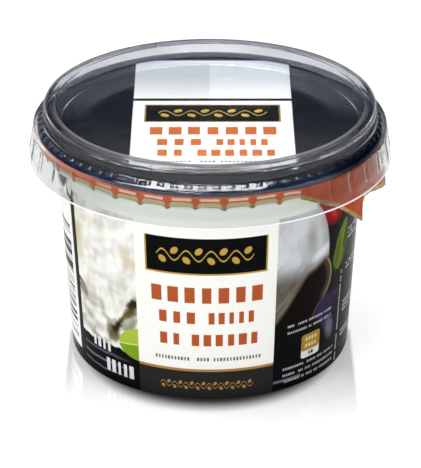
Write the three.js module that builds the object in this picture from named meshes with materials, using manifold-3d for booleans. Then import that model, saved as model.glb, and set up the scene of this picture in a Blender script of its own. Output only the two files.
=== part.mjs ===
// A sealed dairy tub in three pieces: the filled tub, its peel film lid with a pull tab, and a
// clear push-on overcap with a raised stacking ring. Millimetres, +Z up, the tub's axis on Z, the
// foot on z = 0 and the front of the label facing -Y.
import * as THREE from "three";
import { mergeVertices } from "three/addons/utils/BufferGeometryUtils.js";
import Module from "manifold-3d";

const wasm = await Module();
wasm.setup();

const SEGMENTS = 80; // facets round every turned piece
const CLEARANCE = 0.3; // left between two pieces that rest on each other

// Tub: a tapered wall on a low foot, with a turned-down flange round the mouth.
const FOOT_RADIUS = 39;
const FOOT_CORNER = 0.6;
const BASE_RECESS_RADIUS = 33;
const BASE_RECESS_DEPTH = 0.8;
const WALL_RADIUS_AT_BASE = 39.5;
const WALL_DRAFT = 0.0537; // radius gained for each millimetre of height
const WALL_TOP = 63.4;
const WALL_TOP_FILLET = 1;
const MOUTH_RADIUS = 42.9;
const FLANGE_RADIUS = 47;
const FLANGE_TOP = 65.8;
const FLANGE_LIP_BOTTOM = 61.4;
const FLANGE_LIP_THICKNESS = 1.1;
const FILM_SAG = 1.2; // the film dips this far inside the mouth

// Peel film: laid over the mouth and flange, and folded down outside the flange.
const FILM_THICKNESS = 0.3;
const FILM_FOLD_RADIUS = 0.7;
const FILM_SKIRT_BOTTOM = 61.9;
const FILM_SCALLOP = 0.3;
const FILM_SCALLOP_WAVES = [13, 29]; // waves of the uneven lower edge, round the whole rim

// Pull tab: a tongue of the film that hangs out below the overcap at the right, in two lobes.
const TAB_START = 30; // degrees round from the front towards +X
const TAB_NOTCH = 59.5;
const TAB_END = 86;
const TAB_TOP = 65;
const TAB_STEP = 2; // degrees
const TAB_ROWS = 8;
const TAB_FRONT_LOBE = { azimuth: 57.5, bottom: 48, flare: 0.9 };
const TAB_NOTCH_BOTTOM = 55.4;
const TAB_BACK_LOBE = { azimuth: 77.5, bottom: 52.3, flare: 1.75 };
const TAB_END_BOTTOM = 58.5;
const TAB_TUCK = { standOff: 0.45, length: 3 }; // how it lifts clear of the fold
const TAB_PROUD = 0.05; // of its outer face at the fold it grows from

// Overcap: thin sheet, given by its outer face.
const CAP_THICKNESS = 0.7;
const PANEL_RADIUS = 41.6;
const PANEL_TOP = 66.2;
const RING_FOOT_STEP = 68.4;
const RING_INNER_RADIUS = 42.3;
const RING_CROWN_RADIUS = 44.1;
const RING_OUTER_RADIUS = 45.7;
const RING_TOP = 72.9;
const RING_SHOULDER_DROP = 0.6;
const SHELF_TOP = 67.4;
const SHELF_INNER_RADIUS = 46;
const CAP_WALL_RADIUS = 49.2;
const CAP_WALL_BOTTOM = 63.6;
const CAP_FLARE = { radius: 50.2, z: 59.2 };
const CAP_EDGE = { radius: 50.4, z: 57.3 };
const CAP_FILLETS = { panel: 0.5, ring: 0.6, riser: 0.4, shoulder: 1.5 };

// Relief on the overcap: radial ridges on the shelf, and grooves that part the gripping pads.
const RIDGE_COUNT = 80;
const RIDGE_RADIUS = 47;
const RIDGE_LENGTH = 1.1;
const RIDGE_HEIGHT = 0.3;
const PAD_COUNT = 40;
const GROOVE_WIDTH = 1.4;
const GROOVE_DEPTH = 0.25;
const GROOVE_CUTTER = 1; // thickness of the block that cuts a groove
const GROOVE_TOP = 65.2;
const GROOVE_BOTTOM = 59.4;

const radians = THREE.MathUtils.degToRad;

// A three.js geometry as a manifold-3d solid.
function solid(geometry) {
  const plain = new THREE.BufferGeometry();
  plain.setAttribute("position", geometry.getAttribute("position"));
  plain.setIndex(geometry.index);
  const merged = mergeVertices(plain, 1e-4);
  const corners = merged.index.array;
  const triVerts = [];
  for (let i = 0; i < corners.length; i += 3) {
    const [a, b, c] = corners.slice(i, i + 3);
    // The triangles that a lathe makes at its axis have no area.
    if (a !== b && b !== c && c !== a) triVerts.push(a, b, c);
  }
  return new wasm.Manifold(
    new wasm.Mesh({
      numProp: 3,
      vertProperties: merged.attributes.position.array,
      triVerts: new Uint32Array(triVerts),
    }),
  );
}

// A manifold-3d solid as a named mesh.
function named(name, body, material) {
  const mesh = body.getMesh();
  const geometry = new THREE.BufferGeometry();
  geometry.setAttribute(
    "position",
    new THREE.BufferAttribute(mesh.vertProperties, 3),
  );
  geometry.setIndex(new THREE.BufferAttribute(mesh.triVerts, 1));
  geometry.computeVertexNormals();
  const result = new THREE.Mesh(geometry, material);
  result.name = name;
  return result;
}

// Corners [radius, z, fillet] as profile points, each fillet drawn as a short arc.
function rounded(corners) {
  return corners.flatMap(([radius, z, fillet], i) => {
    const here = new THREE.Vector2(radius, z);
    if (!fillet) return [here];
    const towards = (j) =>
      new THREE.Vector2(corners[j][0], corners[j][1]).sub(here).normalize();
    const from = here.clone().addScaledVector(towards(i - 1), fillet);
    const to = here.clone().addScaledVector(towards(i + 1), fillet);
    return new THREE.QuadraticBezierCurve(from, here, to).getPoints(2);
  });
}

// The line of corners that lies a distance inside (or, if negative, outside) a line of corners.
function offset(corners, distance) {
  const points = corners.map(([radius, z]) => new THREE.Vector2(radius, z));
  const inward = (a, b) => new THREE.Vector2(b.y - a.y, a.x - b.x).normalize();
  return points.map((here, i) => {
    const before = inward(points[Math.max(i - 1, 0)], points[Math.max(i, 1)]);
    const next = Math.min(i + 1, points.length - 1);
    const after = inward(points[next - 1], points[next]);
    const middle = before.clone().add(after).normalize();
    const moved = here.clone().addScaledVector(middle, distance / middle.dot(before));
    return [moved.x, moved.y, corners[i][2]];
  });
}

// The solid turned round Z from profile points that start and end on the axis.
function turned(points) {
  const geometry = new THREE.LatheGeometry(points, SEGMENTS);
  geometry.rotateX(Math.PI / 2);
  return geometry;
}

// The sheet under an outer face that runs from the axis out to a free edge.
function turnedSheet(corners, thickness) {
  const sharp = offset(corners, thickness).map(([radius, z]) => [radius, z]);
  return turned([...rounded(sharp), ...rounded(corners).reverse()]);
}

// One copy of a shape for each of count steps round Z.
function ringOf(count, geometry) {
  return Array.from({ length: count }, (_, i) =>
    solid(geometry.clone().rotateZ((i * 2 * Math.PI) / count)),
  );
}

function tub() {
  const wallRadius = (z) => WALL_RADIUS_AT_BASE + WALL_DRAFT * z;
  const mouthTop = FLANGE_TOP - FILM_SAG;
  const lipInner = FLANGE_RADIUS - FLANGE_LIP_THICKNESS;
  const profile = [
    [0, BASE_RECESS_DEPTH],
    [BASE_RECESS_RADIUS - BASE_RECESS_DEPTH, BASE_RECESS_DEPTH],
    [BASE_RECESS_RADIUS, 0],
    [FOOT_RADIUS, 0],
    [wallRadius(FOOT_CORNER), FOOT_CORNER],
    [wallRadius(WALL_TOP), WALL_TOP, WALL_TOP_FILLET],
    [lipInner, WALL_TOP],
    [lipInner, FLANGE_LIP_BOTTOM],
    [FLANGE_RADIUS, FLANGE_LIP_BOTTOM],
    [FLANGE_RADIUS, FLANGE_TOP, FILM_FOLD_RADIUS],
    [MOUTH_RADIUS + FILM_SAG, FLANGE_TOP],
    [MOUTH_RADIUS, mouthTop],
    [0, mouthTop],
  ];
  return solid(turned(rounded(profile)));
}

// How far the film's uneven lower edge wanders from level, at an azimuth in radians.
function scallop(azimuth) {
  const [slow, quick] = FILM_SCALLOP_WAVES;
  return FILM_SCALLOP * (Math.sin(slow * azimuth) + Math.sin(quick * azimuth) / 2);
}

function film() {
  const outer = FLANGE_RADIUS + CLEARANCE + FILM_THICKNESS;
  const underneath = [
    [0, FLANGE_TOP - FILM_SAG],
    [MOUTH_RADIUS, FLANGE_TOP - FILM_SAG],
    [MOUTH_RADIUS + FILM_SAG, FLANGE_TOP],
    [FLANGE_RADIUS, FLANGE_TOP, FILM_FOLD_RADIUS],
    [FLANGE_RADIUS, FILM_SKIRT_BOTTOM],
  ];
  const lid = turnedSheet(
    offset(underneath, -CLEARANCE - FILM_THICKNESS),
    FILM_THICKNESS,
  );
  const position = lid.getAttribute("position");
  for (let i = 0; i < position.count; i++) {
    const z = position.getZ(i);
    if (z < FILM_SKIRT_BOTTOM + CLEARANCE)
      position.setZ(i, z + scallop(Math.atan2(position.getX(i), -position.getY(i))));
  }
  return solid(lid).add(solid(pullTab(outer)));
}

// The height of the tab's lower edge at an azimuth in degrees: straight runs between its corners.
function tabBottom(azimuth) {
  const corners = [
    [TAB_START, FILM_SKIRT_BOTTOM],
    [TAB_FRONT_LOBE.azimuth, TAB_FRONT_LOBE.bottom],
    [TAB_NOTCH, TAB_NOTCH_BOTTOM],
    [TAB_BACK_LOBE.azimuth, TAB_BACK_LOBE.bottom],
    [TAB_END, TAB_END_BOTTOM],
  ];
  const i = corners.findIndex(([a]) => azimuth <= a);
  const [a0, z0] = corners[Math.max(i - 1, 0)];
  const [a1, z1] = corners[Math.max(i, 1)];
  return THREE.MathUtils.mapLinear(azimuth, a0, a1, z0, z1);
}

// How far the tab stands off the folded film: held in by the overcap, it springs out below it.
function tabStandOff(azimuth, z) {
  const lobe = azimuth < TAB_NOTCH ? TAB_FRONT_LOBE : TAB_BACK_LOBE;
  const below = Math.max(CAP_EDGE.z - z, 0) / (CAP_EDGE.z - lobe.bottom);
  const tucked =
    THREE.MathUtils.smoothstep(TAB_TOP - z, 0, TAB_TUCK.length) * TAB_TUCK.standOff;
  return tucked + lobe.flare * Math.min(below, 1);
}

// The tab as a closed strip: columns round the tub, rows down it, an outer and an inner face.
function pullTab(filmRadius) {
  const azimuths = [TAB_FRONT_LOBE.azimuth, TAB_NOTCH, TAB_BACK_LOBE.azimuth, TAB_END];
  for (let a = TAB_START; a < TAB_END; a += TAB_STEP) azimuths.push(a);
  azimuths.sort((a, b) => a - b);
  const vertices = [];
  const row = TAB_ROWS + 1;
  for (const azimuth of azimuths)
    for (const inset of [0, FILM_THICKNESS])
      for (let j = 0; j < row; j++) {
        const z = THREE.MathUtils.lerp(TAB_TOP, tabBottom(azimuth), j / TAB_ROWS);
        const radius = filmRadius + TAB_PROUD + tabStandOff(azimuth, z) - inset;
        const turn = radians(azimuth);
        vertices.push(radius * Math.sin(turn), -radius * Math.cos(turn), z);
      }
  const at = (column, face, j) => (column * 2 + face) * row + j;
  const index = [];
  const quad = (a, b, c, d) => index.push(a, b, c, a, c, d);
  const last = azimuths.length - 1;
  for (let i = 0; i < last; i++) {
    for (let j = 0; j < TAB_ROWS; j++) {
      quad(at(i, 0, j), at(i, 0, j + 1), at(i + 1, 0, j + 1), at(i + 1, 0, j));
      quad(at(i, 1, j), at(i + 1, 1, j), at(i + 1, 1, j + 1), at(i, 1, j + 1));
    }
    quad(at(i, 1, 0), at(i, 0, 0), at(i + 1, 0, 0), at(i + 1, 1, 0));
    const j = TAB_ROWS;
    quad(at(i, 0, j), at(i, 1, j), at(i + 1, 1, j), at(i + 1, 0, j));
  }
  for (let j = 0; j < TAB_ROWS; j++) {
    quad(at(0, 0, j), at(0, 1, j), at(0, 1, j + 1), at(0, 0, j + 1));
    quad(at(last, 1, j), at(last, 0, j), at(last, 0, j + 1), at(last, 1, j + 1));
  }
  const geometry = new THREE.BufferGeometry();
  geometry.setAttribute("position", new THREE.Float32BufferAttribute(vertices, 3));
  geometry.setIndex(index);
  return geometry;
}

function overcap() {
  const ringShoulder = RING_TOP - RING_SHOULDER_DROP;
  const sheet = solid(
    turnedSheet(
      [
        [0, PANEL_TOP],
        [PANEL_RADIUS, PANEL_TOP, CAP_FILLETS.panel],
        [RING_INNER_RADIUS, RING_FOOT_STEP],
        [RING_INNER_RADIUS, ringShoulder, CAP_FILLETS.ring],
        [RING_CROWN_RADIUS, RING_TOP],
        [RING_OUTER_RADIUS, ringShoulder, CAP_FILLETS.ring],
        [SHELF_INNER_RADIUS, SHELF_TOP, CAP_FILLETS.riser],
        [CAP_WALL_RADIUS, SHELF_TOP, CAP_FILLETS.shoulder],
        [CAP_WALL_RADIUS, CAP_WALL_BOTTOM],
        [CAP_FLARE.radius, CAP_FLARE.z],
        [CAP_EDGE.radius, CAP_EDGE.z],
      ],
      CAP_THICKNESS,
    ),
  );
  // A square bar sunk to its middle in the shelf shows as a ridge with two slopes.
  const ridge = new THREE.CylinderGeometry(RIDGE_HEIGHT, RIDGE_HEIGHT, RIDGE_LENGTH, 4)
    .translate(0, RIDGE_RADIUS, SHELF_TOP)
    .rotateZ(Math.PI / RIDGE_COUNT);
  // A groove leans out with the wall it is cut in.
  const lean = Math.atan2(
    CAP_FLARE.radius - CAP_WALL_RADIUS,
    GROOVE_TOP - GROOVE_BOTTOM,
  );
  const middle = (GROOVE_TOP + GROOVE_BOTTOM) / 2;
  const middleRadius = (CAP_WALL_RADIUS + CAP_FLARE.radius) / 2;
  const groove = new THREE.BoxGeometry(
    GROOVE_WIDTH,
    GROOVE_CUTTER,
    GROOVE_TOP - GROOVE_BOTTOM,
  )
    .translate(0, GROOVE_CUTTER / 2 - GROOVE_DEPTH, 0)
    .rotateX(lean)
    .translate(0, middleRadius, middle)
    .rotateZ(Math.PI / PAD_COUNT);
  const ridges = ringOf(RIDGE_COUNT, ridge);
  const grooves = ringOf(PAD_COUNT, groove);
  return wasm.Manifold.union([sheet, ...ridges]).subtract(
    wasm.Manifold.union(grooves),
  );
}

const group = new THREE.Group();
group.name = "burrata_tub";
group.add(
  named(
    "tub",
    tub(),
    new THREE.MeshStandardMaterial({ color: 0xeceae4, roughness: 0.4, metalness: 0 }),
  ),
  named(
    "film_lid",
    film(),
    new THREE.MeshStandardMaterial({ color: 0x2c2d35, roughness: 0.35, metalness: 0 }),
  ),
  named(
    "overcap",
    overcap(),
    new THREE.MeshStandardMaterial({
      color: 0xf2f4f6,
      roughness: 0.1,
      metalness: 0,
      transparent: true,
      opacity: 0.35,
    }),
  ),
);

export default group;
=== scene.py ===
import math

import bmesh
import bpy
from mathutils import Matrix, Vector, noise


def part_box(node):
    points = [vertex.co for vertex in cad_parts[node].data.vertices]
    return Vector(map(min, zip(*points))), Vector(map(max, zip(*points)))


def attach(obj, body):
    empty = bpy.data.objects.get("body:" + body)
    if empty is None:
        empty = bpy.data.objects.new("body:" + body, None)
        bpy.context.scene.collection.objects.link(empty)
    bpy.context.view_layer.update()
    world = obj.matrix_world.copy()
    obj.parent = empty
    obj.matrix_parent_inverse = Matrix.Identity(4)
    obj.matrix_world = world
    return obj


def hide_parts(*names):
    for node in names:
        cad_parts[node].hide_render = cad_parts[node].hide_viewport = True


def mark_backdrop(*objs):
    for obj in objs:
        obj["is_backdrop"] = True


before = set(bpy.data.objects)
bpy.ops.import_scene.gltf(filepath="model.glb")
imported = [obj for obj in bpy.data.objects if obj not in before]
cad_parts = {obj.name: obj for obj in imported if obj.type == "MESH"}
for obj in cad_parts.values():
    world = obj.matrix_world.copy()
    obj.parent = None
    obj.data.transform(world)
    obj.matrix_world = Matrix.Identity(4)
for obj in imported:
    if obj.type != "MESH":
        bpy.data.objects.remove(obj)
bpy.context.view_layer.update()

MM = 0.001
MERGE_DISTANCE = 0.001 * MM

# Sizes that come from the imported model, in metres.
TUB_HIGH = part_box("tub")[1]
FILM_LOW, FILM_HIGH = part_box("film_lid")
CAP_LOW, CAP_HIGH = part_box("overcap")
FLANGE_RADIUS = TUB_HIGH.x
FLANGE_TOP = TUB_HIGH.z
FILM_RADIUS = -FILM_LOW.x
FILM_TOP = FILM_HIGH.z
CAP_RADIUS = -CAP_LOW.x
CAP_TOP = CAP_HIGH.z
CAP_BOTTOM = CAP_LOW.z

# Tub.
ROUND_STEPS = 192
WALL_FOOT_RADIUS = 39.5 * MM
WALL_DRAFT = 0.0537
FOOT_RADIUS = 39.0 * MM
FOOT_CORNER = 0.6 * MM
BASE_RECESS_RADIUS = 33.0 * MM
BASE_RECESS_DEPTH = 0.8 * MM
BASE_RING_RADIUS = 12.0 * MM
BASE_RING_HEIGHT = 0.35 * MM
LIP_THICKNESS = 1.1 * MM
LIP_BOTTOM = 61.4 * MM
WALL_TOP = 63.4 * MM
MOUTH_RADIUS = 42.9 * MM
FILM_SAG = 1.2 * MM

# The label, in millimetres round the wall from the middle of the front.
LABEL_RADIUS = 41.0
LABEL_TURN = 2 * math.pi * LABEL_RADIUS
BACK_LEFT = -72.0
BACK_RIGHT = 58.5

# Film lid.
FILM_STEPS = 480
FILM_SHEET = 0.2 * MM
FILM_FLAT_RADIUS = 42.65 * MM
FILM_RIM_RADIUS = 43.85 * MM
FILM_FOLD_FILLET = 0.9 * MM
FOLD_INK_BOTTOM = 65.0 * MM
FOLD_EDGE = 62.3 * MM
FOLD_DRIP = 0.95 * MM
FOLD_DRIP_WIDTH = 0.9 * MM
FOLD_WANDER = 0.3 * MM
FOLD_RISE = 0.8 * MM

# Overcap: outer face of a thin clear sheet.
PAD_COUNT = 40
RIDGE_COUNT = 80
MARK_COUNT = 36
CAP_STEPS = 640
CAP_SHEET = 0.45 * MM
PAD_RISE = 0.28 * MM
GROOVE_INNER = 0.35 * MM
GROOVE_OUTER = 0.85 * MM
PAD_TOP = 65.8 * MM
PAD_CHAMFER = 1.0 * MM
PAD_BOTTOM = 59.6 * MM
PAD_EDGE = 0.5 * MM
PAD_REACH = 48 * MM
PAD_CROWDING = 0.4
EDGE_HEIGHT = 0.34 * MM
# Corners from the middle of the panel, over the ring and the shelf, and down the wall.
CAP_CORNERS = [
    (0, 66.2 * MM, 0, 1),
    (41.55 * MM, 66.2 * MM, 0.6 * MM, 1),
    (42.2 * MM, 68.4 * MM, 0.5 * MM, 1),
    (42.45 * MM, 72.5 * MM, 0.5 * MM, 1),
    (44.1 * MM, CAP_TOP, 0, 1),
    (45.75 * MM, CAP_TOP, 0.8 * MM, 1),
    (45.75 * MM, 71.76 * MM, 0.1 * MM, 1),
    (46.05 * MM, 71.63 * MM, 0.1 * MM, 1),
    (46.1 * MM, 68.45 * MM, 0.3 * MM, 2),
    (48.95 * MM, 67.0 * MM, 0.6 * MM, 6),
    (49.05 * MM, 63.6 * MM, 1.2 * MM, 6),
    (CAP_RADIUS, CAP_BOTTOM + EDGE_HEIGHT, 0, 6),
    (CAP_RADIUS, CAP_BOTTOM, 0, 1),
]
# Fine relief of the sheet, in millimetres.
RIDGE_RISE = 0.24
RIDGE_SHARE = 0.3
RIDGE_INNER = 46.5
RIDGE_OUTER = 47.7
RIDGE_END = 0.3
RELIEF_RISE = 0.048

# Pull tab: two lobes, given by azimuth in degrees round from the front towards +X.
TAB_START = 30.0
TAB_NOTCH = 59.5
TAB_END = 86.0
TAB_TOP = 64.7 * MM
TAB_CORNERS = [
    (TAB_START, 61.9 * MM),
    (45.0, 56.0 * MM),
    (57.5, 48.1 * MM),
    (TAB_NOTCH, 55.0 * MM),
    (63.0, 54.8 * MM),
    (77.5, 51.7 * MM),
    (TAB_END, 57.9 * MM),
]
TAB_SHEET = 0.22 * MM
TAB_COLUMNS = 112
TAB_ROWS = 24
TAB_PROUD = 0.05 * MM
TAB_TUCK = 0.45 * MM
TAB_TUCK_LENGTH = 3.0 * MM
TAB_FRONT_FLARE = 0.9 * MM
TAB_BACK_FLARE = 1.7 * MM
TAB_RIPPLE = 0.18 * MM
TAB_EDGE_SCALE = 20.0 * MM

# The view.
CAMERA_PLACE = (0.0, -0.62081, 0.33536)
CAMERA_TARGET = (0.000174, 0.0, 0.031408)
CAMERA_LENS = 187.73
CAMERA_NEAR = 0.05
SENSOR = 36.0


# ---- shapes


def rounded_line(corners, arc_points=4):
    """Points through corners (radius, height, fillet, spans): each fillet is an arc of a few
    points, and the run up to each corner is divided into that many spans."""
    points = []
    for i, (radius, height, fillet, spans) in enumerate(corners):
        here = Vector((radius, 0, height))
        arc = [here]
        if fillet:
            before = Vector((corners[i - 1][0], 0, corners[i - 1][1]))
            after = Vector((corners[i + 1][0], 0, corners[i + 1][1]))
            start = here + (before - here).normalized() * fillet
            end = here + (after - here).normalized() * fillet
            shares = [step / arc_points for step in range(arc_points + 1)]
            arc = [start * (1 - t) ** 2 + here * 2 * t * (1 - t) + end * t**2 for t in shares]
        if points:
            last = points[-1]
            points += [last.lerp(arc[0], step / spans) for step in range(1, spans)]
        points += arc
    return points


def spun(points, steps):
    """A surface of revolution round Z from a line of points, with its seam and poles merged."""
    shape = bmesh.new()
    row = [shape.verts.new(point) for point in points]
    for pair in zip(row, row[1:]):
        shape.edges.new(pair)
    bmesh.ops.spin(
        shape, geom=shape.verts[:] + shape.edges[:], cent=(0, 0, 0), axis=(0, 0, 1),
        angle=2 * math.pi, steps=steps, use_merge=True,
    )
    bmesh.ops.remove_doubles(shape, verts=shape.verts, dist=MERGE_DISTANCE)
    bmesh.ops.recalc_face_normals(shape, faces=shape.faces)
    return shape


def finished(name, shape, material):
    """The bmesh as a smooth object of that name and material."""
    mesh = bpy.data.meshes.new(name)
    shape.to_mesh(mesh)
    shape.free()
    mesh.polygons.foreach_set("use_smooth", [True] * len(mesh.polygons))
    mesh.materials.append(material)
    piece = bpy.data.objects.new(name, mesh)
    bpy.context.scene.collection.objects.link(piece)
    return piece


def thicken(piece, thickness):
    """Gives a sheet its thickness, inwards from the face that was modelled."""
    solidify = piece.modifiers.new("sheet thickness", "SOLIDIFY")
    solidify.thickness = thickness
    solidify.offset = -1
    solidify.use_even_offset = True


def azimuth_of(point):
    """Angle round Z from the front (-Y) towards +X, in radians."""
    return math.atan2(point.x, -point.y)


def smooth_step(value, low, high):
    t = min(max((value - low) / (high - low), 0.0), 1.0)
    return t * t * (3 - 2 * t)


def groove_distance(azimuth, radius):
    """Distance along the overcap's wall from the nearest groove between two pads."""
    pitch = 2 * math.pi / PAD_COUNT
    turn = azimuth / pitch - 0.5
    return abs(turn - round(turn)) * pitch * radius


# ---- shader nodes


class Value:
    """A number that shader nodes work out. A plain sum of values adds the nodes for it."""

    def __init__(self, shader, socket):
        self.shader = shader
        self.socket = socket

    def __add__(self, other):
        return self.shader.math("ADD", self, other)

    def __sub__(self, other):
        return self.shader.math("SUBTRACT", self, other)

    def __rsub__(self, other):
        return self.shader.math("SUBTRACT", other, self)

    def __mul__(self, other):
        return self.shader.math("MULTIPLY", self, other)

    def __truediv__(self, other):
        return self.shader.math("DIVIDE", self, other)

    def __abs__(self):
        return self.shader.math("ABSOLUTE", self)

    def scaled(self, factor, rise):
        return self.shader.math("MULTIPLY_ADD", self, factor, rise)

    def ramp(self, low, high, start=0.0, end=1.0, kind="SMOOTHSTEP"):
        """The value carried from low..high to start..end, held at both ends."""
        inputs = enumerate((self, low, high, start, end))
        made = self.shader.node("ShaderNodeMapRange", inputs, interpolation_type=kind)
        return Value(self.shader, made.outputs[0])


class Shader:
    """A node tree that is filled in the order in which its values are worked out."""

    def __init__(self, tree):
        self.tree = tree

    def node(self, kind, inputs=(), **settings):
        made = self.tree.nodes.new(kind)
        for name, value in settings.items():
            setattr(made, name, value)
        for key, value in dict(inputs).items():
            self.feed(made.inputs[key], value)
        return made

    def feed(self, socket, value):
        if isinstance(value, Value):
            value = value.socket
        if isinstance(value, bpy.types.NodeSocket):
            self.tree.links.new(value, socket)
        else:
            socket.default_value = value

    def values(self, node):
        """A node's outputs by name."""
        return {out.name: Value(self, out) for out in node.outputs}

    def parts(self, vector):
        """The three numbers of a vector."""
        return [Value(self, out) for out in self.node("ShaderNodeSeparateXYZ", {0: vector}).outputs]

    def joined(self, *parts):
        """Three numbers as one vector."""
        return self.node("ShaderNodeCombineXYZ", enumerate(parts)).outputs[0]

    def math(self, operation, *values, clamp=False):
        made = self.node("ShaderNodeMath", enumerate(values), operation=operation)
        made.use_clamp = clamp
        return Value(self, made.outputs[0])

    def length(self, first, second):
        return self.math("SQRT", first * first + second * second)

    def off_middle(self, value):
        """How far a value's fraction is from a half: 0 in the middle of each step of 1."""
        return abs(self.math("FRACT", value) - 0.5)

    def mix(self, factor, below, above):
        """Two colours mixed: 0 gives the one below, 1 the one above."""
        inputs = {0: factor, 6: below, 7: above}
        return self.node("ShaderNodeMix", inputs, data_type="RGBA").outputs[2]

    def noise(self, vector, scale, detail=2.0, roughness=0.5, distortion=0.0):
        inputs = {"Vector": vector, "Scale": scale, "Detail": detail}
        inputs.update({"Roughness": roughness, "Distortion": distortion})
        return self.values(self.node("ShaderNodeTexNoise", inputs))["Fac"]

    def use(self, group, **inputs):
        """A copy of a node group, with its inputs given by name (spaces as underscores)."""
        given = {name.replace("_", " "): value for name, value in inputs.items()}
        return self.values(self.node("ShaderNodeGroup", given, node_tree=group))

    def on_wall(self, place):
        """A place's millimetres round the wall, up from the foot, and out from the axis."""
        made = self.use(WALL, Place=place)
        return made["Across"], made["Up"], made["Out"]


def new_group(name, inputs, outputs):
    """An empty node group: returns a Shader for it, and its inputs."""
    tree = bpy.data.node_groups.new(name, "ShaderNodeTree")
    for side, sockets in (("INPUT", inputs), ("OUTPUT", outputs)):
        for socket in sockets:
            kind = "NodeSocketVector" if socket == "Place" else "NodeSocketFloat"
            tree.interface.new_socket(name=socket, in_out=side, socket_type=kind)
    shader = Shader(tree)
    return shader, shader.values(shader.node("NodeGroupInput"))


def give(shader, **values):
    """Ends a node group by linking its outputs."""
    shader.node("NodeGroupOutput", values)
    return shader.tree


def wall_coordinates():
    """Millimetres round the wall from the middle of the front, up from the foot, and out."""
    s, given = new_group("wall coordinates", ["Place"], ["Across", "Up", "Out"])
    x, y, z = s.parts(given["Place"])
    angle = s.math("ARCTAN2", x, y * -1.0)
    return give(s, Across=angle * LABEL_RADIUS, Up=z / MM, Out=s.length(x, y) / MM)


def inside_of(distance, given):
    """1 where a distance past an outline is below 0, soft over the group's blur."""
    return distance.ramp(given["Blur"] * -1.0, given["Blur"], 1.0, 0.0)


def block_shape():
    """A rectangle with rounded corners: 1 inside, 0 outside, soft over the blur."""
    sides = ["Left", "Right", "Bottom", "Top", "Corner", "Blur"]
    s, given = new_group("block", ["Across", "Up"] + sides, ["Mask"])

    def overshoot(value, low, high):
        middle = (low + high) * 0.5
        return abs(value - middle) - ((high - low) * 0.5 - given["Corner"])

    across = overshoot(given["Across"], given["Left"], given["Right"])
    up = overshoot(given["Up"], given["Bottom"], given["Top"])
    outside = s.length(s.math("MAXIMUM", across, 0.0), s.math("MAXIMUM", up, 0.0))
    inside = s.math("MINIMUM", s.math("MAXIMUM", across, up), 0.0)
    return give(s, Mask=inside_of(outside + inside - given["Corner"], given))


def turned_axes(s, given):
    """A group's Across and Up, moved to its middle and turned by its Turn in degrees."""
    across = given["Across"] - given["Middle Across"]
    up = given["Up"] - given["Middle Up"]
    turn = s.math("RADIANS", given["Turn"])
    cosine = s.math("COSINE", turn)
    sine = s.math("SINE", turn)
    return across * cosine + up * sine, up * cosine - across * sine


def oval_shape():
    """An ellipse that may be turned: 1 inside, 0 outside."""
    sizes = ["Middle Across", "Middle Up", "Half Width", "Half Height", "Turn", "Blur"]
    s, given = new_group("oval", ["Across", "Up"] + sizes, ["Mask"])
    along, over = turned_axes(s, given)
    ratio = s.length(along / given["Half Width"], over / given["Half Height"])
    smaller = s.math("MINIMUM", given["Half Width"], given["Half Height"])
    return give(s, Mask=inside_of((ratio - 1.0) * smaller, given))


def leaf_shape():
    """A leaf pointed at both ends, with the masks of its middle rib and of one side."""
    sizes = ["Middle Across", "Middle Up", "Half Length", "Half Width", "Turn", "Roundness", "Blur"]
    s, given = new_group("leaf", ["Across", "Up"] + sizes, ["Mask", "Rib", "Side"])
    along, over = turned_axes(s, given)
    share = along / given["Half Length"]
    left = s.math("MAXIMUM", 1.0 - share * share, 0.0)
    width = given["Half Width"] * s.math("POWER", left, given["Roundness"])
    off = abs(over)
    mask = inside_of(off - width, given) * left.ramp(0.0, 0.03)
    rib = off.ramp(0.05, 0.25, 1.0, 0.0) * mask
    side = over.ramp(given["Blur"] * -1.0, given["Blur"])
    return give(s, Mask=mask, Rib=rib, Side=side)


def rows_shape():
    """Rows of short solid blocks of uneven width, in place of words: lines down, columns across."""
    sides = ["Left", "Right", "Bottom", "Top", "Lines", "Columns", "Gap", "Line Gap", "Fill", "Seed"]
    s, given = new_group("rows of blocks", ["Across", "Up"] + sides, ["Mask"])
    column = (given["Across"] - given["Left"]) / (given["Right"] - given["Left"]) * given["Columns"]
    line = (given["Up"] - given["Bottom"]) / (given["Top"] - given["Bottom"]) * given["Lines"]
    column_number = s.math("FLOOR", column)
    line_number = s.math("FLOOR", line)
    place = s.joined(column_number, line_number, given["Seed"])
    draw = s.values(s.node("ShaderNodeTexWhiteNoise", {"Vector": place}, noise_dimensions="3D"))
    shown = s.math("LESS_THAN", draw["Value"], given["Fill"])
    tone = s.values(s.node("ShaderNodeSeparateColor", {0: draw["Color"]}))["Green"]
    gap = given["Gap"] * tone.scaled(0.6, 0.6)
    off_column = abs(column - column_number - 0.5)
    off_line = abs(line - line_number - 0.5)
    in_column = s.math("LESS_THAN", off_column, 0.5 - gap * 0.5)
    in_line = s.math("LESS_THAN", off_line, 0.5 - given["Line Gap"] * 0.5)
    mask = in_column * in_line * shown
    for value, count in ((column, given["Columns"]), (line, given["Lines"])):
        mask = mask * s.math("GREATER_THAN", value, 0.0) * s.math("LESS_THAN", value, count)
    return give(s, Mask=mask)


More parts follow.
